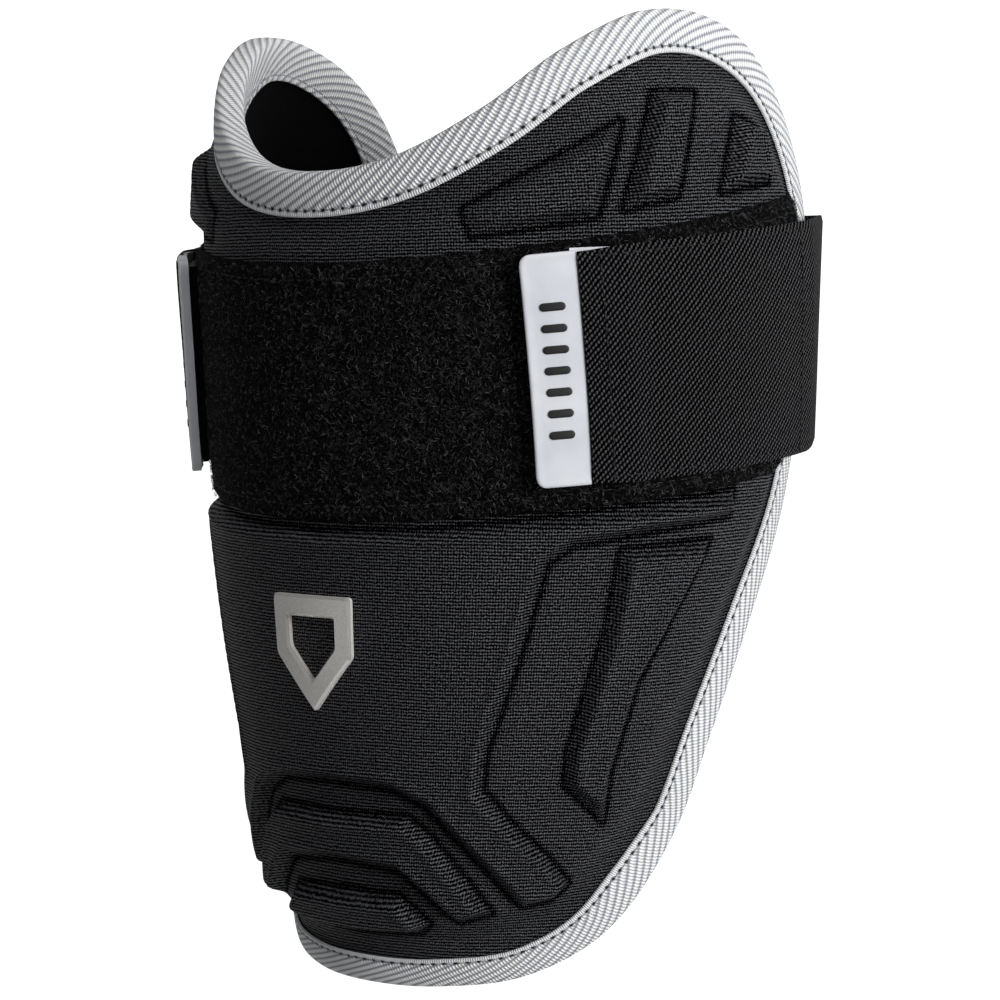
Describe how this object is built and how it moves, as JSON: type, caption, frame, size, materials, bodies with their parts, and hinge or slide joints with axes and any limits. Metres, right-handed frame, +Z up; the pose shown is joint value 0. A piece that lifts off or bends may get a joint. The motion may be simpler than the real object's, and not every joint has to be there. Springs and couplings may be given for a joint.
{
  "type": "baseball elbow guard",
  "caption": "Moulded foam elbow guard with raised panels, bound rim, loop band and one elastic strap with two pull tabs.",
  "frame": {"origin": "centre of the guard's footprint on the table, at the height of the table", "axes": "+X across the arm, towards the near wing; +Y towards the upper arm's end; +Z up, the side of the guard's spine"},
  "size_m": [0.1542, 0.2062, 0.1142],
  "materials": {
    "stretch_knit": "black ribbed stretch knit over moulded foam",
    "lining_knit": "plain black smooth knit",
    "rim_tape": "light grey twill tape",
    "loop_pile": "black brushed loop pile",
    "woven_elastic": "black woven elastic",
    "grey_rubber": "satin light grey moulded rubber",
    "hook_tape": "black hook tape",
    "badge_metal": "satin silver with polished bevels"
  },
  "bodies": {
    "root": {"padded_shell": "stretch_knit", "inner_lining": "lining_knit", "edge_binding": "rim_tape", "loop_band": "loop_pile", "elastic_strap": "woven_elastic", "near_pull_tab": "grey_rubber", "far_pull_tab": "grey_rubber", "near_hook_patch": "hook_tape", "far_hook_patch": "hook_tape", "badge": "badge_metal"}
  },
  "joints": []
}
